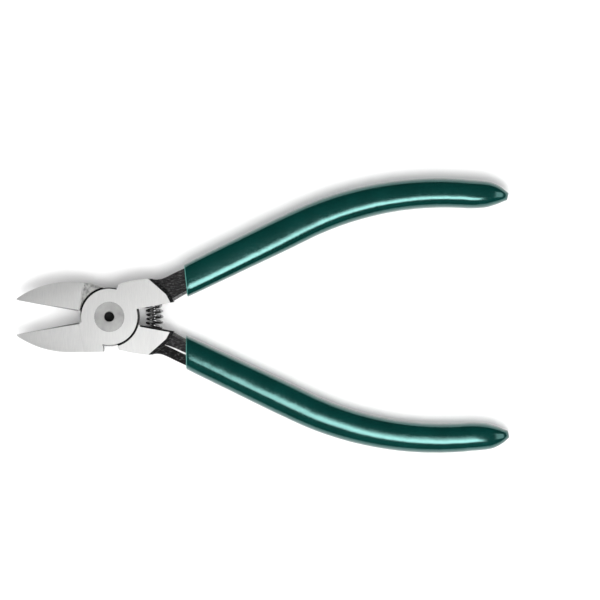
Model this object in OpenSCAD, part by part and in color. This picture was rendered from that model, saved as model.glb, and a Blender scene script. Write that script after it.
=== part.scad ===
// Flush cut pliers with a lap joint, a coil return spring and dipped grips.
//
// The tool lies on its back face at Z = 0. The pivot runs along Z through the
// origin. The jaws point to -X and the handles to +X. Each lever is drawn
// closed, with its cutting edge on the X axis, then swung open about the pivot.
// The back lever is the front lever turned over about X, except that both
// blades have their flush side towards +Z and their bevel towards the table.

/* [Head] */
// thickness of the two lapped layers together
head_t = 10; // [8:0.5:12]
// air between the two lapped layers
layer_gap = 0.05; // [0.02:0.01:0.1]
// radius of the round boss on each lever
boss_r = 9.05; // [8:0.05:9.4]
// air round each boss in the other lever's recess
boss_gap = 0.25; // [0.15:0.05:0.4]
// how far each lever is swung open at rest, in degrees
half_open = 10.4; // [6:0.2:12]

/* [Jaws] */
// pivot to the tip of the jaws
jaw_len = 29.3; // [27:0.1:29.4]
// radius of the rounded outer side of a jaw
jaw_curve_r = 29; // [28.5:0.1:29.5]
// closest approach of each cutting edge to the closed line
edge_gap = 0.04; // [0.02:0.01:0.1]
// pivot to the line where the flush grinding starts
facet_start = 9.8; // [9.4:0.1:12]
// slope of the flush ground face towards the tip, in degrees
flush_slope = 4.5; // [2:0.5:6]
// slope of the thinned back of the jaws, in degrees
back_slope = 10; // [6:0.5:12]
// pivot to the line where the thinned back starts
back_start = 12; // [11:0.5:14]
// angle of the cutting bevel, in degrees
bevel = 25; // [20:1:32]
// flat land left on the cutting edge
edge_land = 0.25; // [0.1:0.05:0.4]
// depth of the unground step beside the other lever's boss
root_step = 0.25; // [0.1:0.05:0.4]

/* [Handles] */
// closed line to the straight inner side of the head
inner_y = 0.85; // [0.6:0.05:1.2]
// width of the forged handle bar
bar_w = 7.3; // [6:0.1:7.6]
// thickness of the forged handle bar
bar_t = 8; // [7:0.1:8.4]
// corner chamfer of the forged handle bar
bar_chamfer = 1.6; // [1.4:0.1:2]
// slope of the straight part of the handle when closed, in degrees
handle_slope = 15.3; // [14:0.1:16]
// length of the straight part measured from the mouth of the grip
straight_len = 39.3; // [36:0.1:42]
// radius of the curved part
handle_r = 100; // [95:1:110]
// length of the curved bar inside the grip
bar_arc_len = 56; // [50:1:58]
// how much slimmer each side of the curved bar is than the straight bar
bar_shoulder = 0.3; // [0.2:0.05:0.6]

/* [Grips] */
// thickness of a grip
grip_t = 10; // [9.6:0.1:10.4]
// squareness of the grip section, 2 is an ellipse
grip_square = 2.6; // [2.5:0.1:3]
// length of a grip along its middle
grip_len = 106; // [100:1:108]
// slant of the mouth of the front grip at rest, in degrees
front_mouth_slant = 6; // [-4:1:8]
// slant of the mouth of the back grip at rest, in degrees
back_mouth_slant = 0; // [-4:1:8]
// distance from the mouth at which the pointed end starts to thin
taper_start = 92; // [88:1:94]
// how far the pointed end leans outwards
nib_lean = 1.1; // [0:0.1:1.5]

/* [Pivot and spring] */
// radius of the rivet shank
rivet_r = 3; // [2.5:0.1:3.2]
// radius of the flush rivet heads
rivet_head_r = 4.6; // [4.2:0.1:5]
// depth of the countersunk rivet heads
rivet_head_t = 1.6; // [1:0.1:2]
// radial running clearance between the rivet and the back lever
rivet_fit = 0.05; // [0.02:0.01:0.1]
// radius of the blind hole in the front of the rivet
rivet_hole_r = 1.5; // [1:0.1:1.8]
// depth of the blind hole in the front of the rivet
rivet_hole_depth = 3; // [1:0.5:5]
// pivot to the middle of the spring
spring_at = 13.9; // [13.5:0.1:14.2]
// mean radius of the spring coils
coil_r = 2.3; // [2.1:0.05:2.4]
// radius of the spring wire
wire_r = 0.4; // [0.3:0.01:0.42]
// number of turns in the spring
spring_turns = 8; // [6:1:9]
// radius of the blind seats for the spring
seat_r = 3; // [2.95:0.05:3.1]
// depth of the blind seats for the spring
seat_depth = 3.1; // [2.5:0.1:3.4]

/* [Hidden] */
$fn = 96;

steel = [0.7, 0.71, 0.72];
turned_steel = [0.6, 0.61, 0.62];
spring_wire = [0.3, 0.3, 0.31];
green_vinyl = [0.03, 0.27, 0.25];

mid_z = head_t / 2;
recess_r = boss_r + boss_gap;

// a point of the front lever, given as it lies at rest, turned to where it is when closed
function closed(p) = [
    p[0] * cos(half_open) + p[1] * sin(half_open),
    p[1] * cos(half_open) - p[0] * sin(half_open)
];

// lowest point of the jaw's rounded outer side at rest
jaw_belly = [-12.3, -10.9];
jaw_centre = closed(jaw_belly + [0, jaw_curve_r]);
// middle of the handle bar at the mouth of the grip
grip_start = closed([23.6, 11.05]);

// further out than any side of the head
outside = 12;
// far past the ends of the jaws
reach = 60;
// how far a cutting shape runs past the face that it opens
over = 1;
// straight bar that is buried in the forged root
bar_root_len = 7.5;
// how far the two stretches of the bar run into each other
weld = 1;
// how far the bevel runs on from the flush ground face towards the boss
bevel_run_on = 5;

// where each jaw's rounded side ends, towards the boss
front_side_end = closed(jaw_belly)[0];
back_side_end = -4;
// outer side of each jaw's root, from the rounded side to the boss
root_foot = closed([-2.1, -8.9]);
front_root = [closed([-2, -10.75]), root_foot];
back_root = [root_foot];

// the forged root of the handle, from the boss to the straight bar
handle_root = [
    [2, inner_y],
    [19.4, inner_y],
    [20.6, 1.6],
    [20.6, 9.05],
    closed([17.5, 12.2]),
    closed([15.5, 11.5]),
    closed([13.8, 11.5]),
    closed([12.2, 11.75]),
    closed([10.7, 11.65]),
    closed([7.1, 11.1]),
    closed([3, 10.2]),
    closed([2.4, 8.85]),
    [1, 4]
];

// inner and outer ends of the line along which the flat grinding stops
ground_start = closed([18.9, 4.3]);
ground_shoulder = closed([12, 11.75]);
// the part of the handle root that is ground flat and stands proud of the bar
ground_end = [
    [0, 0],
    [ground_start[0], 0],
    ground_start,
    closed([17.5, 6.9]),
    closed([14.2, 9.6]),
    ground_shoulder,
    [ground_shoulder[0], outside],
    [0, outside]
];

// ---------------------------------------------------------------- outlines

// the jaw, rounded as far as side_end, and its root, below the closed line
module jaw_outline(side_end, root) {
    rise = sqrt(pow(jaw_curve_r, 2) - pow(side_end - jaw_centre[0], 2));
    intersection() {
        translate(jaw_centre)
            circle(r = jaw_curve_r);
        polygon([
            [-jaw_len, -edge_gap],
            [-jaw_len, -outside],
            [side_end, -outside],
            [side_end, -edge_gap]
        ]);
    }
    polygon(concat(
        [[side_end, -edge_gap], [side_end, jaw_centre[1] - rise]],
        root,
        [[-3, -edge_gap]]
    ));
}

module ground_outline() {
    intersection() {
        polygon(handle_root);
        polygon(ground_end);
    }
}

module bar_section(slimmer) {
    w = bar_w / 2 - slimmer;
    t = bar_t / 2 - slimmer;
    c = bar_chamfer;
    polygon([
        [w, t - c], [w - c, t], [c - w, t], [-w, t - c],
        [-w, c - t], [c - w, -t], [w - c, -t], [w, c - t]
    ]);
}

// ------------------------------------------------------------------ levers

// the octagonal handle bar, straight and then curved
module handle_bar() {
    translate([grip_start[0], grip_start[1], mid_z])
        rotate([0, 0, handle_slope]) {
            translate([-bar_root_len, 0, 0])
                rotate([90, 0, 90])
                    linear_extrude(height = bar_root_len + straight_len)
                        bar_section(0);
            translate([straight_len, -handle_r, 0])
                rotate([0, 0, 90 - arc_angle(bar_arc_len)])
                    rotate_extrude(angle = arc_angle(bar_arc_len + weld), $fn = 360)
                        translate([handle_r, 0])
                            bar_section(bar_shoulder);
        }
}

function arc_angle(length) = length / handle_r * 180 / PI;

// blind seat for one end of the spring, tangent to the swing of the handle
module spring_seat() {
    mouth = asin(inner_y / spring_at);
    depth_angle = seat_depth / spring_at * 180 / PI;
    rotate([0, 0, mouth + depth_angle / 2])
        translate([spring_at, -seat_depth / 2 - over, mid_z])
            rotate([-90, 0, 0])
                cylinder(h = seat_depth + over, r = seat_r);
}

// one lever before its blade is ground, closed, boss in the upper layer
module lever_blank(side_end, root) {
    half = mid_z + layer_gap / 2;
    difference() {
        union() {
            linear_extrude(height = head_t) {
                jaw_outline(side_end, root);
                ground_outline();
            }
            translate([0, 0, (head_t - bar_t) / 2])
                linear_extrude(height = bar_t)
                    polygon(handle_root);
            translate([0, 0, half])
                cylinder(h = head_t - half, r = boss_r);
            handle_bar();
        }
        translate([0, 0, -over])
            cylinder(h = half + over, r = recess_r);
        translate([-facet_start, -outside, -over])
            cube([facet_start, outside, root_step + over]);
        spring_seat();
    }
}

// everything ground off the lower jaw: flush face, thinned back and bevel
module blade_grinding() {
    translate([-facet_start, 0, head_t])
        rotate([0, -flush_slope, 0]) {
            translate([-reach, -reach, 0])
                cube([reach, 2 * reach, reach]);
        }
    translate([-back_start, 0, 0])
        rotate([0, back_slope, 0])
            translate([-reach, -reach, -reach])
                cube([reach, 2 * reach, reach]);
    difference() {
        translate([-facet_start, -edge_gap, head_t])
            rotate([0, -flush_slope, 0])
                translate([0, 0, -edge_land])
                    rotate([-bevel, 0, 0])
                        translate([-reach, 0, -reach])
                            cube([reach + bevel_run_on, reach, reach]);
        cylinder(h = 2 * reach, r = recess_r, center = true);
    }
}

// turns a lever over about X, between the same two faces
module turned_over() {
    translate([0, 0, head_t])
        rotate([180, 0, 0])
            children();
}

module front_lever() {
    color(steel)
        rotate([0, 0, half_open])
            difference() {
                lever_blank(front_side_end, front_root);
                blade_grinding();
                rivet_shape(0);
            }
}

module back_lever() {
    color(steel)
        rotate([0, 0, -half_open])
            difference() {
                turned_over()
                    lever_blank(back_side_end, back_root);
                mirror([0, 1, 0])
                    blade_grinding();
                rivet_shape(rivet_fit);
            }
}

// ------------------------------------------------------------------- pivot

// the solid outline of the rivet, grown all round by a running clearance
module rivet_shape(extra) {
    r = rivet_r + extra;
    head = rivet_head_r + extra;
    rotate_extrude()
        polygon([
            [0, -extra], [head, -extra], [head, 0], [r, rivet_head_t],
            [r, head_t - rivet_head_t], [head, head_t], [head, head_t + extra],
            [0, head_t + extra]
        ]);
}

module pivot_rivet() {
    color(turned_steel)
        difference() {
            rivet_shape(0);
            translate([0, 0, head_t - rivet_hole_depth])
                cylinder(h = rivet_hole_depth + over, r = rivet_hole_r);
        }
}

// ------------------------------------------------------------------ spring

// sides of the wire and rings to a turn
wire_sides = 8;
rings_per_turn = 18;
// air between each end of the spring and the floor of its seat
spring_end_gap = 0.1;
// a very small share of the spring's length
tiny_share = 0.0001;

// how far round the pivot each end of the spring lies, in degrees
function spring_end_angle() =
    half_open + asin(inner_y / spring_at)
    + (seat_depth - wire_r - spring_end_gap) / spring_at * 180 / PI;

// outward direction of the coil at a share of the spring's length, 0 to 1
function coil_out(share) =
    let (place = spring_end_angle() * (2 * share - 1))
    let (turn = 360 * spring_turns * share)
    [cos(turn) * cos(place), cos(turn) * sin(place), sin(turn)];

// middle of the wire at a share of the spring's length
function wire_point(share) =
    let (place = spring_end_angle() * (2 * share - 1))
    [spring_at * cos(place), spring_at * sin(place), mid_z] + coil_r * coil_out(share);

// one ring of points round the wire
function wire_ring(share) =
    let (ahead = wire_point(share + tiny_share) - wire_point(share - tiny_share))
    let (along = ahead / norm(ahead))
    let (side = cross(along, coil_out(share)))
    let (across = side / norm(side))
    let (out = cross(across, along))
    [for (k = [0 : wire_sides - 1])
        let (a = 360 * k / wire_sides)
        wire_point(share) + wire_r * (cos(a) * out + sin(a) * across)];

module return_spring() {
    rings = spring_turns * rings_per_turn;
    color(spring_wire)
        skin([for (i = [0 : rings]) wire_ring(i / rings)]);
}

// ------------------------------------------------------------------- grips

// full width of the grip at a distance from its mouth
grip_widths = [
    [0, 9.4], [4, 9.6], [18, 9.9], [32, 10.2], [45, 10.0],
    [57, 9.7], [72, 9.3], [86, 9.0], [95, 8.7], [99, 8.0], [101, 6.9],
    [103, 5.2], [104.6, 3.3], [106, 1.8]
];

// distances from the mouth at which the grip's section is placed
grip_stations = [
    0, 0.5, 2, 5, 10, 18, 28, straight_len, 44, 49, 54, 59, 64, 69, 74, 79,
    84, 89, 93, 96.5, 99, 101, 102.6, 103.8, 104.8, 105.5
];

function smooth(x) = let (t = min(1, max(0, x))) t * t * (3 - 2 * t);

// direction of the handle's middle line
function path_angle(s) =
    handle_slope - max(0, s - straight_len) / handle_r * 180 / PI;

// the handle's middle line
function path_point(s) =
    let (u = [cos(handle_slope), sin(handle_slope)])
    let (v = [sin(handle_slope), -cos(handle_slope)])
    let (a = max(0, s - straight_len) / handle_r * 180 / PI)
    let (along = min(s, straight_len) + handle_r * sin(a))
    let (across = handle_r * (1 - cos(a)))
    grip_start + along * u + across * v;

function signed_power(x, e) = sign(x) * pow(abs(x), e);

section_points = 32;
// distance from the mouth over which its slant dies out
slant_len = 7;
// length of the thin lip at the mouth, and its share of the full thickness
lip_len = 0.4;
lip_share = 0.95;
// how the thickness falls away over the pointed end
end_power = 3.2;
end_share = 0.03;

// one closed ring of the grip's skin, turned where the mouth is slanted
function grip_ring(s, slant) =
    let (slanted = (slant - half_open - handle_slope) * (1 - smooth(s / slant_len)))
    let (plane = path_angle(s) + slanted)
    let (w = lookup(s, grip_widths) / 2 / cos(slanted))
    let (end = max(0, s - taper_start) / (grip_len - taper_start))
    let (full_t = grip_t / 2 * (s < lip_len ? lip_share : 1))
    let (t = full_t * sqrt(max(end_share, 1 - pow(end, end_power))))
    let (p = path_point(s) + nib_lean * smooth(end) * [0, 1])
    [for (k = [0 : section_points - 1])
        let (a = 360 * k / section_points)
        let (across = w * signed_power(cos(a), 2 / grip_square))
        let (up = t * signed_power(sin(a), 2 / grip_square))
        [p[0] - across * sin(plane), p[1] + across * cos(plane), mid_z + up]];

// one closed skin through rings that each have the same number of points
module skin(rings) {
    n = len(rings[0]);
    last = len(rings) - 1;
    points = [for (ring = rings) each ring];
    sides = [
        for (i = [0 : last - 1])
            for (k = [0 : n - 1])
                let (a = i * n + k)
                let (b = i * n + (k + 1) % n)
                each [[a, b, b + n], [a, b + n, a + n]]
    ];
    mouth = [[for (k = [n - 1 : -1 : 0]) k]];
    tip = [[for (k = [0 : n - 1]) last * n + k]];
    polyhedron(points = points, faces = concat(sides, mouth, tip));
}

module grip_closed(slant) {
    difference() {
        skin([for (s = grip_stations) grip_ring(s, slant)]);
        handle_bar();
    }
}

module front_grip() {
    color(green_vinyl)
        rotate([0, 0, half_open])
            grip_closed(front_mouth_slant);
}

module back_grip() {
    color(green_vinyl)
        rotate([0, 0, -half_open])
            turned_over()
                grip_closed(back_mouth_slant);
}

front_lever();
back_lever();
pivot_rivet();
return_spring();
front_grip();
back_grip();
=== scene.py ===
"""Looks of the flush cut pliers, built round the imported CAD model.

Shapes are drawn in millimetres, with the tool closed, in the CAD's frame: the
pivot is the Z axis, jaws point to -X, handles to +X, and the tool lies on Z = 0.
Each lever is then swung open about the pivot and scaled to metres.
"""

import math

import bmesh
import bpy
from mathutils import Matrix, Vector


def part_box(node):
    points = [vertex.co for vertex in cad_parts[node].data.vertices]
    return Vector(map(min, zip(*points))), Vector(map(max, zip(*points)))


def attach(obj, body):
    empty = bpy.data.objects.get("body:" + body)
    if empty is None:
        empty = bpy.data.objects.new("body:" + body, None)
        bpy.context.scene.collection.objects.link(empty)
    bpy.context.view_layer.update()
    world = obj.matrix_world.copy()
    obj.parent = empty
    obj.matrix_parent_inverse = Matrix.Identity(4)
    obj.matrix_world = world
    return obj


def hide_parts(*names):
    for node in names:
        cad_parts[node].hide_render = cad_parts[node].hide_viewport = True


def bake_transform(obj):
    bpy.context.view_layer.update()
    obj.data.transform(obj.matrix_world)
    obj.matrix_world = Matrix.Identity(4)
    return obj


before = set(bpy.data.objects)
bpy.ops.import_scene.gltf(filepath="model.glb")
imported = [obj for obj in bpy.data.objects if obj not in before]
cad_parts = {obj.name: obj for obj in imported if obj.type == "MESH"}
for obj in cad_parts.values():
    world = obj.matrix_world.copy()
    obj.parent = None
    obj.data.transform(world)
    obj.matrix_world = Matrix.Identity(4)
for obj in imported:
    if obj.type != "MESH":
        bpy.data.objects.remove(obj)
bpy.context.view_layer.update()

# ---------------------------------------------------------------- dimensions

MM = 0.001
rivet_low, rivet_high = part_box("pivot_rivet")
HEAD_T = (rivet_high.z - rivet_low.z) / MM
MID_Z = HEAD_T / 2
RIVET_HEAD_R = (rivet_high.x - rivet_low.x) / 2 / MM
HALF_OPEN = 10.4
LAYER_GAP = 0.05
BOSS_R = 9.05
BOSS_RIM = 0.35
RECESS_R = 9.38

JAW_LEN = 29.3
JAW_CURVE_R = 29.0
JAW_BELLY = (-12.3, -10.9)
EDGE_GAP = 0.04
FACET_START = 9.8
FLUSH_SLOPE = 4.5
BACK_SLOPE = 10.0
BACK_START = 12.0
BEVEL = 25.0
EDGE_LAND = 0.25
ROOT_STEP = 0.25
EDGE_STONE = 0.4
BACK_STEP_RUN = 0.35
BACK_SIDE_END = -4.0

INNER_Y = 0.85
INNER_CHAMFER = 0.5
BAR_T = 8.0
HANDLE_SLOPE = 15.3
STRAIGHT_LEN = 39.3
HANDLE_R = 100.0
GRIP_T = 10.0
GRIP_LEN = 105.5
GRIP_SQUARE = 2.6
GRIP_LIP = 0.25
TAPER_START = 92.0
NIB_LEAN = 1.1

RIVET_R = 3.0
RIVET_HEAD_T = 1.6
RIVET_HOLE_R = 1.5
RIVET_HOLE_DEPTH = 3.0
FIXED_GAP = 0.03
RUNNING_GAP = 0.05

SPRING_AT = 13.9
SPRING_TURNS = 8
COIL_R = 2.3
WIRE_R = 0.4
SEAT_R = 3.0
SEAT_DEPTH = 3.1

REACH = 60.0
JAW_DEPTH = 12.0

MERGE_DIST = 0.002
FLAT_ANGLE = 0.5
SHARP_ANGLE = 14.0
SHORT_EDGE = 0.35
EDGE_ROUND = 0.15


def closed(x, y):
    """A point of the front lever, given as it lies at rest, turned to where it is when closed."""
    return (Matrix.Rotation(math.radians(-HALF_OPEN), 2) @ Vector((x, y)))[:]


JAW_CENTRE = Vector(closed(JAW_BELLY[0], JAW_BELLY[1] + JAW_CURVE_R))
GRIP_START = Vector(closed(23.6, 11.05))
ROOT_FOOT = closed(-2.1, -8.9)

# the material slots that every lever mesh has, in this order
# the last slot is near-black painted shade, for holes, gaps and edges turned away from the light
GROUND, SIDE, BLADE, OXIDE, ROOT, PAINTED_SHADE = range(6)


# ------------------------------------------------------------------ materials

NOISE_LOW = 0.3
NOISE_HIGH = 0.7


class Nodes:
    """A material's node tree, with short calls for the nodes used here."""

    def __init__(self, name):
        self.material = bpy.data.materials.new(name)
        self.material.use_nodes = True
        self.tree = self.material.node_tree
        self.shader = self.tree.nodes["Principled BSDF"]
        self.place = self.tree.nodes.new("ShaderNodeTexCoord").outputs["Object"]

    def link(self, source, target):
        self.tree.links.new(source, target)

    def stretched(self, scale, turn=0.0):
        """The object's own coordinates, stretched so that one unit is 1 / scale metres."""
        node = self.tree.nodes.new("ShaderNodeMapping")
        node.inputs["Scale"].default_value = scale
        node.inputs["Rotation"].default_value = (0, 0, math.radians(turn))
        self.link(self.place, node.inputs["Vector"])
        return node.outputs["Vector"]

    def noise(self, vector, detail=3.0, roughness=0.5):
        node = self.tree.nodes.new("ShaderNodeTexNoise")
        node.inputs["Scale"].default_value = 1.0
        node.inputs["Detail"].default_value = detail
        node.inputs["Roughness"].default_value = roughness
        self.link(vector, node.inputs["Vector"])
        return node.outputs["Fac"]

    def ramp(self, value, stops):
        node = self.tree.nodes.new("ShaderNodeValToRGB")
        band = node.color_ramp
        while len(band.elements) < len(stops):
            band.elements.new(0.5)
        for element, (place, colour) in zip(band.elements, stops):
            element.position = place
            element.color = (*colour, 1)
        self.link(value, node.inputs["Fac"])
        return node.outputs["Color"]

    def span(self, value, low, high):
        """value, remapped so that the usual range of a noise gives low to high."""
        node = self.tree.nodes.new("ShaderNodeMapRange")
        node.inputs["From Min"].default_value = NOISE_LOW
        node.inputs["From Max"].default_value = NOISE_HIGH
        node.inputs["To Min"].default_value = low
        node.inputs["To Max"].default_value = high
        self.link(value, node.inputs["Value"])
        return node.outputs["Result"]

    def bump(self, height, distance, strength=1.0, under=None):
        node = self.tree.nodes.new("ShaderNodeBump")
        node.inputs["Strength"].default_value = strength
        node.inputs["Distance"].default_value = distance
        self.link(height, node.inputs["Height"])
        if under is not None:
            self.link(under, node.inputs["Normal"])
        return node.outputs["Normal"]


def ground_metal(name, dark, light, rough, grain_turn, scratch):
    """Surface-ground steel: fine parallel scratches over slow smudges."""
    m = Nodes(name)
    grain = m.noise(m.stretched((9000, 350, 350), grain_turn), 4, 0.6)
    smudge = m.noise(m.stretched((140, 140, 140)), 3)
    m.link(m.ramp(grain, [(0.3, dark), (0.7, light)]), m.shader.inputs["Base Color"])
    m.link(m.span(smudge, rough - 0.02, rough + 0.03), m.shader.inputs["Roughness"])
    m.link(m.bump(grain, scratch * MM), m.shader.inputs["Normal"])
    m.shader.inputs["Metallic"].default_value = 1.0
    return m.material


def black_oxide():
    """Rough forged skin, blackened, with pale specks where it is worn."""
    m = Nodes("black_oxide")
    skin = m.noise(m.stretched((900, 2000, 2000)), 5, 0.65)
    lumps = m.noise(m.stretched((250, 600, 600)), 2)
    colour = m.ramp(
        skin,
        [
            (0.40, (0.004, 0.004, 0.004)),
            (0.54, (0.018, 0.018, 0.019)),
            (0.64, (0.07, 0.07, 0.07)),
            (0.74, (0.30, 0.30, 0.30)),
        ],
    )
    m.link(colour, m.shader.inputs["Base Color"])
    m.link(m.span(skin, 0.60, 0.36), m.shader.inputs["Roughness"])
    coarse = m.bump(lumps, 0.15 * MM, 0.9)
    m.link(m.bump(skin, 0.09 * MM, 0.9, coarse), m.shader.inputs["Normal"])
    m.shader.inputs["Metallic"].default_value = 0.7
    return m.material


def half_ground():
    """The low step beside the boss, which the grinding wheel only skimmed."""
    m = Nodes("half_ground")
    patches = m.noise(m.stretched((900, 900, 900)), 5, 0.6)
    m.link(
        m.ramp(patches, [(0.35, (0.16, 0.16, 0.16)), (0.62, (0.42, 0.42, 0.41))]),
        m.shader.inputs["Base Color"],
    )
    m.link(m.span(patches, 0.55, 0.36), m.shader.inputs["Roughness"])
    m.link(m.bump(patches, 0.05 * MM), m.shader.inputs["Normal"])
    m.shader.inputs["Metallic"].default_value = 0.9
    return m.material


def turned_steel(name, dark, light, rough):
    """Lathe-turned steel: fine rings about the pivot."""
    m = Nodes(name)
    rings = m.tree.nodes.new("ShaderNodeTexWave")
    rings.wave_type = "RINGS"
    rings.rings_direction = "Z"
    rings.inputs["Scale"].default_value = 900
    rings.inputs["Distortion"].default_value = 1.5
    rings.inputs["Detail"].default_value = 3
    m.link(m.place, rings.inputs["Vector"])
    smudge = m.noise(m.stretched((300, 300, 300)), 4)
    m.link(m.ramp(smudge, [(0.3, dark), (0.7, light)]), m.shader.inputs["Base Color"])
    m.link(m.span(smudge, rough - 0.05, rough + 0.1), m.shader.inputs["Roughness"])
    m.link(m.bump(rings.outputs["Fac"], 0.008 * MM), m.shader.inputs["Normal"])
    m.shader.inputs["Metallic"].default_value = 1.0
    return m.material


def spring_wire():
    """Dark polished wire with faint draw marks."""
    m = Nodes("spring_wire")
    marks = m.noise(m.stretched((2500, 2500, 900)), 3)
    m.link(
        m.ramp(marks, [(0.3, (0.28, 0.28, 0.28)), (0.7, (0.42, 0.42, 0.42))]),
        m.shader.inputs["Base Color"],
    )
    m.link(m.span(marks, 0.16, 0.24), m.shader.inputs["Roughness"])
    m.link(m.bump(marks, 0.01 * MM), m.shader.inputs["Normal"])
    m.shader.inputs["Metallic"].default_value = 1.0
    return m.material


def dipped_plastic(name, dark, light):
    """Glossy dipped vinyl with the slow ripple of a dip coat."""
    m = Nodes(name)
    ripple = m.noise(m.stretched((110, 110, 110)), 2)
    fine = m.noise(m.stretched((1400, 1400, 1400)), 3)
    m.link(m.ramp(ripple, [(0.3, dark), (0.7, light)]), m.shader.inputs["Base Color"])
    m.link(m.span(fine, 0.14, 0.20), m.shader.inputs["Roughness"])
    slow = m.bump(ripple, 0.25 * MM, 0.5)
    m.link(m.bump(fine, 0.012 * MM, 0.6, slow), m.shader.inputs["Normal"])
    m.shader.inputs["Specular IOR Level"].default_value = 1.0
    m.shader.inputs["Specular Tint"].default_value = (0.5, 1.0, 0.95, 1)
    return m.material


# Near-black with a faint random mottle: painted shade for the holes and seats, the boss's rim chamfer
# beside the other lever and the back lever's inner chamfer.
def painted_shade_black():
    m = Nodes("painted_shade_black")
    shade_mottle = m.noise(m.stretched((900, 900, 900)), 3)
    m.link(
        m.ramp(shade_mottle, [(0.3, (0.004, 0.004, 0.004)), (0.7, (0.014, 0.014, 0.014))]),
        m.shader.inputs["Base Color"],
    )
    m.link(m.span(shade_mottle, 0.5, 0.7), m.shader.inputs["Roughness"])
    m.link(m.bump(shade_mottle, 0.02 * MM), m.shader.inputs["Normal"])
    m.shader.inputs["Specular IOR Level"].default_value = 0.2
    return m.material


def pale_floor():
    m = Nodes("pale_floor")
    paper = m.noise(m.stretched((60, 60, 60)), 2)
    m.link(
        m.ramp(paper, [(0.3, (0.93, 0.93, 0.93)), (0.7, (0.95, 0.95, 0.95))]),
        m.shader.inputs["Base Color"],
    )
    m.shader.inputs["Roughness"].default_value = 0.9
    m.shader.inputs["Specular IOR Level"].default_value = 0.1
    m.shader.inputs["Emission Color"].default_value = (1, 1, 1, 1)
    m.shader.inputs["Emission Strength"].default_value = 0.05
    return m.material


LEVER_MATERIALS = [
    ground_metal("ground_face", (0.55, 0.55, 0.55), (0.63, 0.63, 0.62), 0.40, 12, 0.006),
    ground_metal("ground_side", (0.30, 0.30, 0.30), (0.42, 0.42, 0.41), 0.38, 80, 0.02),
    ground_metal("ground_blade", (0.64, 0.64, 0.64), (0.73, 0.73, 0.72), 0.46, 0, 0.008),
    black_oxide(),
    half_ground(),
    painted_shade_black(),
]


# --------------------------------------------------------- solids, in millimetres


def solid(name, points, faces, slots):
    """A closed mesh object; slots gives each face's material slot, or one for all."""
    mesh = bpy.data.meshes.new(name)
    mesh.from_pydata([Vector(p) for p in points], [], faces)
    for material in LEVER_MATERIALS:
        mesh.materials.append(material)
    if isinstance(slots, int):
        slots = [slots] * len(faces)
    mesh.polygons.foreach_set("material_index", slots)
    obj = bpy.data.objects.new(name, mesh)
    bpy.context.scene.collection.objects.link(obj)
    outward(mesh)
    return obj


def outward(mesh):
    """Turns every face outwards."""
    work = bmesh.new()
    work.from_mesh(mesh)
    bmesh.ops.recalc_face_normals(work, faces=work.faces)
    work.to_mesh(mesh)
    work.free()


def prism(outline, low, high, cap=GROUND, side=SIDE):
    n = len(outline)
    points = [(x, y, low) for x, y in outline] + [(x, y, high) for x, y in outline]
    faces = [[i, (i + 1) % n, n + (i + 1) % n, n + i] for i in range(n)]
    faces += [list(range(n)), list(range(n, 2 * n))]
    return solid("prism", points, faces, [side] * n + [cap] * 2)


def circle(radius, steps=144):
    turns = [2 * math.pi * i / steps for i in range(steps)]
    return [(radius * math.cos(t), radius * math.sin(t)) for t in turns]


def block(low, high, place, slot):
    """A box between two corners, carried by the matrix place."""
    points = [
        place @ Vector((x, y, z))
        for x in (low[0], high[0])
        for y in (low[1], high[1])
        for z in (low[2], high[2])
    ]
    faces = [[0, 1, 3, 2], [4, 6, 7, 5], [0, 4, 5, 1], [2, 3, 7, 6], [0, 2, 6, 4], [1, 5, 7, 3]]
    return solid("block", points, faces, slot)


def lathe(profile, slots, steps=144):
    """A closed profile of (radius, height), whose first and last points lie on the Z axis."""
    ends = [(0, 0, profile[0][1]), (0, 0, profile[-1][1])]
    inner = profile[1:-1]
    points = [(r * x, r * y, z) for r, z in inner for x, y in circle(1, steps)] + ends
    first, last = len(points) - 2, len(points) - 1
    faces = []
    face_slots = []
    for i in range(steps):
        k = (i + 1) % steps
        faces.append([first, k, i])
        face_slots.append(slots[0])
        for row in range(len(inner) - 1):
            a, b = row * steps, (row + 1) * steps
            faces.append([a + i, a + k, b + k, b + i])
            face_slots.append(slots[row + 1])
        top = (len(inner) - 1) * steps
        faces.append([top + i, top + k, last])
        face_slots.append(slots[-1])
    return solid("lathe", points, faces, face_slots)


def loft(rings, side_slots):
    """A skin over closed rings; side_slots gives each strip's slot, the ends taking the first two."""
    n = len(rings[0])
    if isinstance(side_slots, int):
        side_slots = [side_slots] * n
    points = [p for ring in rings for p in ring]
    faces = [
        [i * n + k, i * n + (k + 1) % n, (i + 1) * n + (k + 1) % n, (i + 1) * n + k]
        for i in range(len(rings) - 1)
        for k in range(n)
    ]
    faces += [list(range(n)), list(range((len(rings) - 1) * n, len(rings) * n))]
    return solid("loft", points, faces, side_slots * (len(rings) - 1) + side_slots[:2])


def paint(obj, *materials):
    """Gives a piece its own materials in place of the levers' ones."""
    slots = [face.material_index for face in obj.data.polygons]
    obj.data.materials.clear()
    for material in materials:
        obj.data.materials.append(material)
    obj.data.polygons.foreach_set("material_index", slots)


def combine(target, tool, operation="DIFFERENCE"):
    """Joins tool to target or cuts it out, and removes tool."""
    change = target.modifiers.new("combine", "BOOLEAN")
    change.operation = operation
    change.solver = "EXACT"
    change.object = tool
    bpy.context.view_layer.update()
    posed = target.evaluated_get(bpy.context.evaluated_depsgraph_get())
    shape = bpy.data.meshes.new_from_object(posed)
    target.modifiers.clear()
    target.data = shape
    bpy.data.objects.remove(tool)


def move(obj, matrix):
    obj.data.transform(matrix)
    outward(obj.data)
    return obj


def turn(axis, degrees):
    return Matrix.Rotation(math.radians(degrees), 4, axis)


def shift(x, y, z):
    return Matrix.Translation((x, y, z))


TURNED_OVER = shift(0, 0, HEAD_T) @ turn("X", 180)
MIRRORED = Matrix.Diagonal((1, -1, 1, 1))


# ------------------------------------------------------------------ smooth curves


def smooth(x):
    t = min(1.0, max(0.0, x))
    return t * t * (3 - 2 * t)


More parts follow.
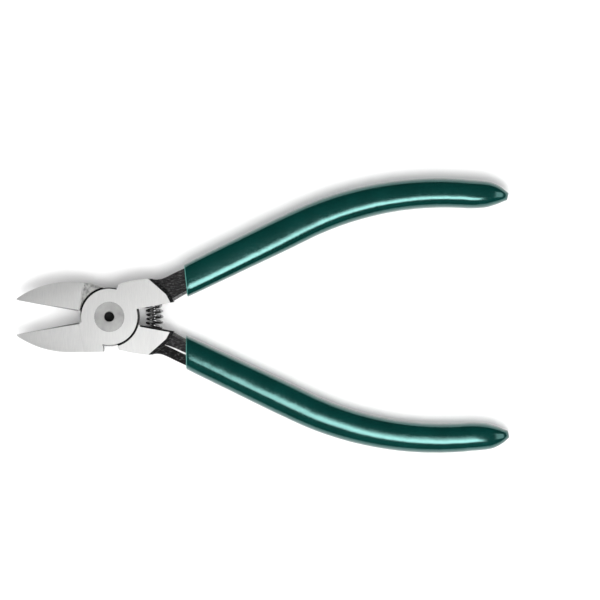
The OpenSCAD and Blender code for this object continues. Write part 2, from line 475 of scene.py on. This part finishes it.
def through(keys, x):
    """A smooth curve through (x, value) keys."""
    if x <= keys[0][0]:
        return keys[0][1]
    if x >= keys[-1][0]:
        return keys[-1][1]
    i = max(k for k in range(len(keys) - 1) if keys[k][0] <= x)
    (x0, y0), (x1, y1) = keys[i], keys[i + 1]
    before = keys[max(0, i - 1)]
    after = keys[min(len(keys) - 1, i + 2)]
    m0 = (y1 - before[1]) / (x1 - before[0])
    m1 = (after[1] - y0) / (after[0] - x0)
    t = (x - x0) / (x1 - x0)
    step = x1 - x0
    return (
        (2 * t**3 - 3 * t**2 + 1) * y0
        + (t**3 - 2 * t**2 + t) * step * m0
        + (3 * t**2 - 2 * t**3) * y1
        + (t**3 - t**2) * step * m1
    )


def signed_power(x, e):
    return math.copysign(abs(x) ** e, x)


# ------------------------------------------------------------------------ levers


def jaw(side_end, root):
    """The jaw, rounded as far as side_end, and its root, below the closed line."""
    steps = 28
    outline = [(-3.0, -EDGE_GAP), (-JAW_LEN, -EDGE_GAP)]
    for i in range(steps + 1):
        x = -JAW_LEN + (side_end + JAW_LEN) * i / steps
        drop = math.sqrt(JAW_CURVE_R**2 - (x - JAW_CENTRE.x) ** 2)
        outline.append((x, JAW_CENTRE.y - drop))
    return prism(outline + root, 0, HEAD_T)


GROUND_END = [closed(12, 11.75), closed(14.2, 9.6), closed(17.5, 6.9), closed(18.9, 4.3)]
PLATE_FALL = 38.0


def ground_plate():
    """The flat-ground root of the handle, which falls away to the forged bar."""
    outline = [(2, INNER_Y), (20.4, INNER_Y), (19.8, 3.6), (17.2, 7.2), (15.2, 9.1)]
    outline += [closed(12.2, 11.75), closed(10.7, 11.65), closed(7.1, 11.1)]
    outline += [closed(3, 10.2), closed(2.4, 8.85), (1, 4)]
    return prism(outline, 0, HEAD_T)


def plate_slopes():
    """Tools that cut the slopes where the ground plate falls to the forged bar, on both faces."""
    tools = []
    for (x0, y0), (x1, y1) in ((GROUND_END[0], GROUND_END[2]), GROUND_END[2:]):
        heading = math.degrees(math.atan2(y1 - y0, x1 - x0))
        for face in (1, -1):
            level = HEAD_T if face > 0 else 0
            place = shift(x0, y0, level) @ turn("Z", heading) @ turn("X", -PLATE_FALL * face)
            low = (-REACH, 0, 0) if face > 0 else (-REACH, 0, -REACH)
            high = (REACH, REACH, REACH) if face > 0 else (REACH, REACH, 0)
            tools.append(block(low, high, place, OXIDE))
    return tools


INNER_SIDE = [
    (12, INNER_Y), (17.5, INNER_Y),
    closed(19.1, 4.6), closed(21.3, 5.8), closed(24.3, 7.5), closed(28.7, 9.6),
]
OUTER_SIDE = [
    closed(10.1, 11.3), closed(12.2, 11.65), closed(13.8, 11.5), closed(15.5, 11.5),
    closed(17.5, 12.2), closed(19.9, 13.4), closed(22.9, 14.8), closed(27.4, 16.9),
]


def forged_bar():
    """The black bar between the ground plate and the grip, chamfered, with a strip of bright ground
    steel along one ridge that is a painted highlight.
    """
    start, end, steps = 12, 30, 12
    # the strip of bright ground steel beside the outer chamfer underneath is a painted highlight,
    # seen as a bright line along the back lever's bar
    painted_sheen_start, painted_sheen_run = 17, 6
    front_inner, front_outer = (0.75, 0.42), (0.45, 0.45)
    back_inner, back_outer = (0.9, 0.6), (3.1, 1.3)
    ridge, least_ridge = 0.5, 0.02
    rings = []
    for i in range(steps + 1):
        x = start + (end - start) * i / steps
        low, high = through(INNER_SIDE, x), through(OUTER_SIDE, x)
        top, bottom = MID_Z + BAR_T / 2, MID_Z - BAR_T / 2
        painted_sheen = ridge * smooth((x - painted_sheen_start) / painted_sheen_run)
        rings.append([
            (x, low, top - front_inner[1]), (x, low + front_inner[0], top),
            (x, high - front_outer[0], top), (x, high, top - front_outer[1]),
            (x, high, bottom + back_outer[1]), (x, high - back_outer[0], bottom),
            (x, high - back_outer[0] - painted_sheen - least_ridge, bottom),
            (x, low + back_inner[0], bottom), (x, low, bottom + back_inner[1]),
        ])
    return loft(rings, [ROOT, OXIDE, OXIDE, OXIDE, OXIDE, BLADE, OXIDE, ROOT, OXIDE])


def spring_seat():
    mouth = math.degrees(math.asin(INNER_Y / SPRING_AT))
    half_depth = math.degrees(SEAT_DEPTH / SPRING_AT) / 2
    # the seat's walls are painted near-black shade
    seat = prism(circle(SEAT_R, 64), -1, SEAT_DEPTH, PAINTED_SHADE, PAINTED_SHADE)
    place = turn("Z", mouth + half_depth) @ shift(SPRING_AT, -SEAT_DEPTH / 2, MID_Z)
    return move(seat, place @ turn("X", -90))


def rivet_bore(gap):
    """The profile of the hole for the rivet, wider by gap and run out past both faces."""
    past = 0.5
    r, head = RIVET_R + gap, RIVET_HEAD_R + gap
    return [
        (0, -gap - past), (head, -gap - past), (head, 0), (r, RIVET_HEAD_T),
        (r, HEAD_T - RIVET_HEAD_T), (head, HEAD_T), (head, HEAD_T + past), (0, HEAD_T + past),
    ]


OPEN_RIM = (-85, 160)


def unshade_open_rim(lever):
    """Gives the boss's rim chamfer the ground side finish where no part of the other lever faces it;
    elsewhere it keeps the near-black painted shade of the gap between the levers.
    """
    for face in lever.data.polygons:
        x, y, z = face.center
        across = BOSS_R - BOSS_RIM < math.hypot(x, y) < BOSS_R
        up = HEAD_T - BOSS_RIM < z < HEAD_T
        heading = math.degrees(math.atan2(y, x))
        if across and up and not OPEN_RIM[0] <= heading <= OPEN_RIM[1]:
            face.material_index = SIDE


def lever_blank(side_end, root):
    """One closed lever, boss in the upper layer, before its blade is ground."""
    half = MID_Z + LAYER_GAP / 2
    lever = jaw(side_end, root)
    plate = ground_plate()
    for tool in plate_slopes():
        combine(plate, tool)
    boss = [
        (0, half), (BOSS_R, half), (BOSS_R, HEAD_T - BOSS_RIM),
        (BOSS_R - BOSS_RIM, HEAD_T), (0, HEAD_T),
    ]
    # the rim chamfer is painted near-black, a painted shade for the gap beside the other lever
    combine(lever, lathe(boss, [GROUND, OXIDE, PAINTED_SHADE, GROUND]), "UNION")
    combine(lever, plate, "UNION")
    combine(lever, forged_bar(), "UNION")
    combine(lever, prism(circle(RECESS_R), -1, half, OXIDE, OXIDE))
    step_start = BACK_STEP_RUN - FACET_START
    combine(lever, block((step_start, -JAW_DEPTH, -1), (0, 0, ROOT_STEP), Matrix(), ROOT))
    slope = math.degrees(math.atan2(ROOT_STEP, BACK_STEP_RUN))
    ramp = shift(-FACET_START, 0, 0) @ turn("Y", -slope)
    combine(lever, block((0, -JAW_DEPTH, -1), (BACK_STEP_RUN + 0.1, 0, 0), ramp, BLADE))
    combine(lever, spring_seat())
    unshade_open_rim(lever)
    return lever


def blade_grinding(stone_slope):
    """Everything ground off the lower jaw: flush face, thinned back, bevel and stoned edge."""
    flush = block(
        (-REACH, -REACH, 0), (0, REACH, REACH),
        shift(-FACET_START, 0, HEAD_T) @ turn("Y", -FLUSH_SLOPE), BLADE,
    )
    back = block(
        (-REACH, -REACH, -REACH), (0, REACH, 0),
        shift(-BACK_START, 0, 0) @ turn("Y", BACK_SLOPE), BLADE,
    )
    tilt = shift(-FACET_START, -EDGE_GAP, HEAD_T) @ turn("Y", -FLUSH_SLOPE)
    bevel = block(
        (-REACH, 0, -REACH), (5, REACH, 0),
        tilt @ shift(0, 0, -EDGE_LAND) @ turn("X", -BEVEL), BLADE,
    )
    narrowing = math.degrees(EDGE_STONE / (JAW_LEN - FACET_START))
    stoned = block(
        (-REACH, 0, 0), (5, REACH, REACH),
        tilt @ shift(0, -EDGE_STONE, 0) @ turn("Z", -narrowing) @ turn("X", -stone_slope), SIDE,
    )
    for tool in (bevel, stoned):
        combine(tool, prism(circle(RECESS_R), -30, 30))
    return [flush, back, bevel, stoned]


def roundness(edge):
    """1 for an edge of the closed tool that is rounded, and 0 for one that is left as it is."""
    if len(edge.link_faces) != 2 or math.degrees(edge.calc_face_angle()) < SHARP_ANGLE:
        return 0.0
    middle = (edge.verts[0].co + edge.verts[1].co) / 2
    from_pivot = math.hypot(middle.x, middle.y)
    cramped = min(near.calc_length() for end in edge.verts for near in end.link_edges) < SHORT_EDGE
    round_rivet = from_pivot < RIVET_HEAD_R + 0.2
    boss_rim = abs(from_pivot - BOSS_R) < BOSS_RIM + 0.1
    cutting_edge = middle.x < -FACET_START + 1 and abs(middle.y) < EDGE_STONE + 0.2
    return 0.0 if cramped or round_rivet or boss_rim or cutting_edge else 1.0


def finish_metal(obj, name, swing):
    """Swings a solid open, scales it to metres and rounds its edges."""
    work = bmesh.new()
    work.from_mesh(obj.data)
    bmesh.ops.remove_doubles(work, verts=work.verts, dist=MERGE_DIST)
    bmesh.ops.dissolve_degenerate(work, edges=work.edges, dist=MERGE_DIST)
    bmesh.ops.dissolve_limit(
        work, angle_limit=math.radians(FLAT_ANGLE),
        verts=work.verts, edges=work.edges, delimit={"MATERIAL"},
    )
    weight = work.edges.layers.float.new("bevel_weight_edge")
    for joint in work.edges:
        joint[weight] = roundness(joint)
    work.to_mesh(obj.data)
    work.free()
    move(obj, Matrix.Scale(MM, 4) @ turn("Z", swing))
    obj.name = name
    obj.data.polygons.foreach_set("use_smooth", [True] * len(obj.data.polygons))
    obj.data.set_sharp_from_angle(angle=math.radians(SHARP_ANGLE))
    rounding = obj.modifiers.new("rounded_edges", "BEVEL")
    rounding.width = EDGE_ROUND * MM
    rounding.segments = 3
    rounding.limit_method = "WEIGHT"
    rounding.use_clamp_overlap = True
    rounding.harden_normals = True


def front_lever():
    stone_slope = 32
    lever = lever_blank(closed(*JAW_BELLY)[0], [closed(-2, -10.75), ROOT_FOOT])
    for tool in blade_grinding(stone_slope):
        combine(lever, tool)
    combine(lever, lathe(rivet_bore(FIXED_GAP), [PAINTED_SHADE] * 7))
    finish_metal(lever, "front_lever_finished", HALF_OPEN)
    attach(lever, "front_body")
    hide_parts("front_lever")


def back_lever():
    stone_slope = 12
    lever = move(lever_blank(BACK_SIDE_END, [ROOT_FOOT]), TURNED_OVER)
    for tool in blade_grinding(stone_slope):
        combine(lever, move(tool, MIRRORED))
    # a 45 degree chamfer along the inner edge, painted near-black as painted shade on the edge turned
    # away from the light
    chamfer_start, chamfer_end = 9.8, 19.6
    inner_edge = shift(0, -INNER_Y - INNER_CHAMFER, HEAD_T) @ turn("X", -45)
    combine(lever, block((chamfer_start, 0, 0), (chamfer_end, 1, 1), inner_edge, PAINTED_SHADE))
    combine(lever, lathe(rivet_bore(RUNNING_GAP), [PAINTED_SHADE] * 7))
    finish_metal(lever, "back_lever_finished", -HALF_OPEN)
    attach(lever, "back_body")
    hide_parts("back_lever")


# ------------------------------------------------------------------------- rivet


def rivet():
    chamfer, drill_point = 0.12, 0.8
    hole_floor = HEAD_T - RIVET_HOLE_DEPTH
    profile = [
        (0, 0), (RIVET_HEAD_R, 0), (RIVET_R, RIVET_HEAD_T),
        (RIVET_R, HEAD_T - RIVET_HEAD_T), (RIVET_HEAD_R, HEAD_T), (RIVET_HOLE_R + chamfer, HEAD_T),
        (RIVET_HOLE_R, HEAD_T - chamfer), (RIVET_HOLE_R, hole_floor), (0, hole_floor - drill_point),
    ]
    # the hole's wall and drilled point take the second material, near-black painted shade inside the
    # hole
    obj = lathe(profile, [0] * 6 + [1, 1], 96)
    steel = turned_steel("rivet_face", (0.30, 0.30, 0.30), (0.41, 0.41, 0.40), 0.34)
    paint(obj, steel, painted_shade_black())
    finish_metal(obj, "rivet_finished", 0)
    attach(obj, "front_body")
    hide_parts("pivot_rivet")


# ------------------------------------------------------------------------ spring


def spring_reach():
    """How far round the pivot each end of the spring lies, in degrees."""
    in_seat = math.degrees((SEAT_DEPTH - WIRE_R - 0.1) / SPRING_AT)
    return HALF_OPEN + math.degrees(math.asin(INNER_Y / SPRING_AT)) + in_seat


def coil_out(share):
    place = math.radians(spring_reach() * (2 * share - 1))
    winding = 2 * math.pi * SPRING_TURNS * share
    return Vector((
        math.cos(winding) * math.cos(place),
        math.cos(winding) * math.sin(place),
        math.sin(winding),
    ))


def wire_point(share):
    place = math.radians(spring_reach() * (2 * share - 1))
    middle = Vector((SPRING_AT * math.cos(place), SPRING_AT * math.sin(place), MID_Z))
    return middle + COIL_R * coil_out(share)


def spring():
    sides, per_turn = 12, 40
    steps = SPRING_TURNS * per_turn
    rings = []
    for i in range(steps + 1):
        share = i / steps
        along = (wire_point(share + 1e-4) - wire_point(share - 1e-4)).normalized()
        across = along.cross(coil_out(share)).normalized()
        out = across.cross(along)
        end = min(i, steps - i)
        radius = WIRE_R * (0.8 if end == 0 else 1)
        ring = []
        for k in range(sides):
            a = 2 * math.pi * k / sides
            ring.append(wire_point(share) + radius * (math.cos(a) * out + math.sin(a) * across))
        rings.append(ring)
    obj = loft(rings, 0)
    paint(obj, spring_wire())
    move(obj, Matrix.Scale(MM, 4))
    obj.name = "return_spring_finished"
    obj.data.polygons.foreach_set("use_smooth", [True] * len(obj.data.polygons))
    obj.data.set_sharp_from_angle(angle=math.radians(50))
    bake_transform(obj)
    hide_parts("return_spring")


# ------------------------------------------------------------------------- grips

# full width of the grip at a distance from its mouth
GRIP_WIDTHS = [
    (0, 9.4), (4, 9.6), (18, 9.9), (32, 10.2), (45, 10.0), (57, 9.7), (72, 9.3),
    (86, 9.0), (95, 8.7), (99, 8.0), (101, 6.9), (103, 5.2), (104.6, 3.3), (105.5, 2.3),
]
SLANT_FADE = 7.0
SQUARE_FADE = 55.0
TAPER_LEN = 14.0
END_POWER = 3.2
END_SHARE = 0.03
MOUTH_WALL = 1.6


def path_point(s):
    """The handle's middle line, closed, at a distance from the mouth of the grip."""
    slope = math.radians(HANDLE_SLOPE)
    along_line = Vector((math.cos(slope), math.sin(slope)))
    inward = Vector((math.sin(slope), -math.cos(slope)))
    a = max(0, s - STRAIGHT_LEN) / HANDLE_R
    along = min(s, STRAIGHT_LEN) + HANDLE_R * math.sin(a)
    return GRIP_START + along * along_line + HANDLE_R * (1 - math.cos(a)) * inward


def path_angle(s):
    return HANDLE_SLOPE - math.degrees(max(0, s - STRAIGHT_LEN) / HANDLE_R)


def grip_ring(s, slant, squareness, inset=0.0):
    """One ring of the grip's skin, turned where the mouth is slanted."""
    points = 72
    slanted = (slant - HALF_OPEN - HANDLE_SLOPE) * (1 - smooth(s / SLANT_FADE))
    plane = math.radians(path_angle(s) + slanted)
    end = max(0, s - TAPER_START) / TAPER_LEN
    half_w = through(GRIP_WIDTHS, s) / 2 / math.cos(math.radians(slanted)) - inset
    half_t = GRIP_T / 2 * math.sqrt(max(END_SHARE, 1 - end**END_POWER)) - inset
    square = GRIP_SQUARE + (squareness - GRIP_SQUARE) * (1 - smooth(s / SQUARE_FADE))
    side = Vector((-math.sin(plane), math.cos(plane)))
    middle = path_point(s) + Vector((0, NIB_LEAN * smooth(end)))
    ring = []
    for k in range(points):
        a = 2 * math.pi * k / points
        across = half_w * signed_power(math.cos(a), 2 / square)
        up = half_t * signed_power(math.sin(a), 2 / square)
        ring.append((*(middle + across * side), MID_Z + up))
    return ring


def grip_shape(slant, squareness):
    """A dipped grip: a rolled mouth, the long bent body and a small pointed end."""
    lip_steps, steps, closing_up = 4, 150, 0.9
    rings = [grip_ring(0, slant, squareness, MOUTH_WALL)]
    for i in range(lip_steps + 1):
        a = math.pi / 2 * i / lip_steps
        along, inset = GRIP_LIP * (1 - math.cos(a)), GRIP_LIP * (1 - math.sin(a))
        rings.append(grip_ring(along, slant, squareness, inset))
    for i in range(1, steps + 1):
        along = GRIP_LIP + (GRIP_LEN - GRIP_LIP) * (i / steps) ** closing_up
        rings.append(grip_ring(along, slant, squareness))
    skin = loft(rings, 0)
    # the mouth face and the rolled lip take the pale second material, a painted highlight along the
    # mouth
    for face in skin.data.polygons[:(lip_steps + 1) * len(rings[0])]:
        face.material_index = 1
    return skin


def grip(name, body, node, obj, swing, materials):
    paint(obj, *materials)
    move(obj, Matrix.Scale(MM, 4) @ turn("Z", swing))
    obj.name = name
    obj.data.polygons.foreach_set("use_smooth", [True] * len(obj.data.polygons))
    obj.data.set_sharp_from_angle(angle=math.radians(60))
    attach(obj, body)
    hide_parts(node)


def front_grip(materials):
    grip("front_grip_finished", "front_body", "front_grip", grip_shape(6, 3.6), HALF_OPEN, materials)


def back_grip(materials):
    obj = move(grip_shape(0, GRIP_SQUARE), TURNED_OVER)
    grip("back_grip_finished", "back_body", "back_grip", obj, -HALF_OPEN, materials)


# ------------------------------------------------------------------------- stage


def floor():
    mesh = bpy.data.meshes.new("floor")
    half, level = 1.5, -0.0001
    corners = [(-half, -half, level), (half, -half, level), (half, half, level), (-half, half, level)]
    mesh.from_pydata(corners, [], [[0, 1, 2, 3]])
    mesh.materials.append(pale_floor())
    obj = bpy.data.objects.new("floor", mesh)
    bpy.context.scene.collection.objects.link(obj)


def soft_light(name, place, size, power, aim=(0.05, 0, 0), roll=0.0, mirrored=True):
    """A soft box that the camera doesn't see, turned by roll degrees about its own axis."""
    lamp = bpy.data.lights.new(name, "AREA")
    lamp.shape = "RECTANGLE"
    lamp.size, lamp.size_y = size
    lamp.energy = power
    obj = bpy.data.objects.new(name, lamp)
    heading = (Vector(aim) - Vector(place)).to_track_quat("-Z", "Y")
    obj.matrix_world = Matrix.Translation(place) @ heading.to_matrix().to_4x4() @ turn("Z", roll)
    obj.visible_camera = False
    obj.visible_glossy = mirrored
    bpy.context.scene.collection.objects.link(obj)


def lights():
    soft_light("key", (0.085, -0.155, 0.51), (0.25, 0.15), 1.0, (0.07, 0, 0), -34)
    soft_light("top_fill", (0.05, 0, 0.9), (1.2, 1.2), 6.0, (0.05, 0, 0), 0, False)
    soft_light("low_fill", (0.05, -0.5, 0.5), (1.2, 0.7), 3.8, (0.05, 0, 0), 0, False)
    soft_light("far_glow", (0.13, -0.16, 0.51), (0.10, 0.28), 0.35)
    for side in (-1, 1):
        soft_light("end_fill", (0.05 + 0.75 * side, 0, 0.55), (0.5, 0.5), 1.8)
    world = bpy.data.worlds.new("studio")
    world.use_nodes = True
    background = world.node_tree.nodes["Background"]
    background.inputs["Color"].default_value = (1, 1, 1, 1)
    background.inputs["Strength"].default_value = 0.04
    bpy.context.scene.world = world


def camera():
    """Straight above the tool and far off, with more room past the handles than past the jaws."""
    seen_width, height = 0.186, 1.3
    middle_x, middle_y, roll = 0.0589, 0.0050, -0.2
    lens = bpy.data.cameras.new("camera")
    lens.sensor_width = 36
    lens.lens = lens.sensor_width * (height - MID_Z * MM) / seen_width
    obj = bpy.data.objects.new("camera", lens)
    obj.location = (middle_x, middle_y, height)
    obj.rotation_euler = (0, 0, math.radians(roll))
    bpy.context.scene.collection.objects.link(obj)
    bpy.context.scene.camera = obj


front_lever()
back_lever()
rivet()
spring()
vinyl = [
    dipped_plastic("dipped_plastic", (0.0002, 0.025, 0.021), (0.0004, 0.034, 0.029)),
    # the pale lip material is a painted highlight along each grip's mouth
    dipped_plastic("painted_sheen_lip", (0.06, 0.22, 0.19), (0.12, 0.32, 0.28)),
]
front_grip(vinyl)
back_grip(vinyl)
floor()
lights()
camera()
bpy.context.scene.view_settings.view_transform = "Standard"
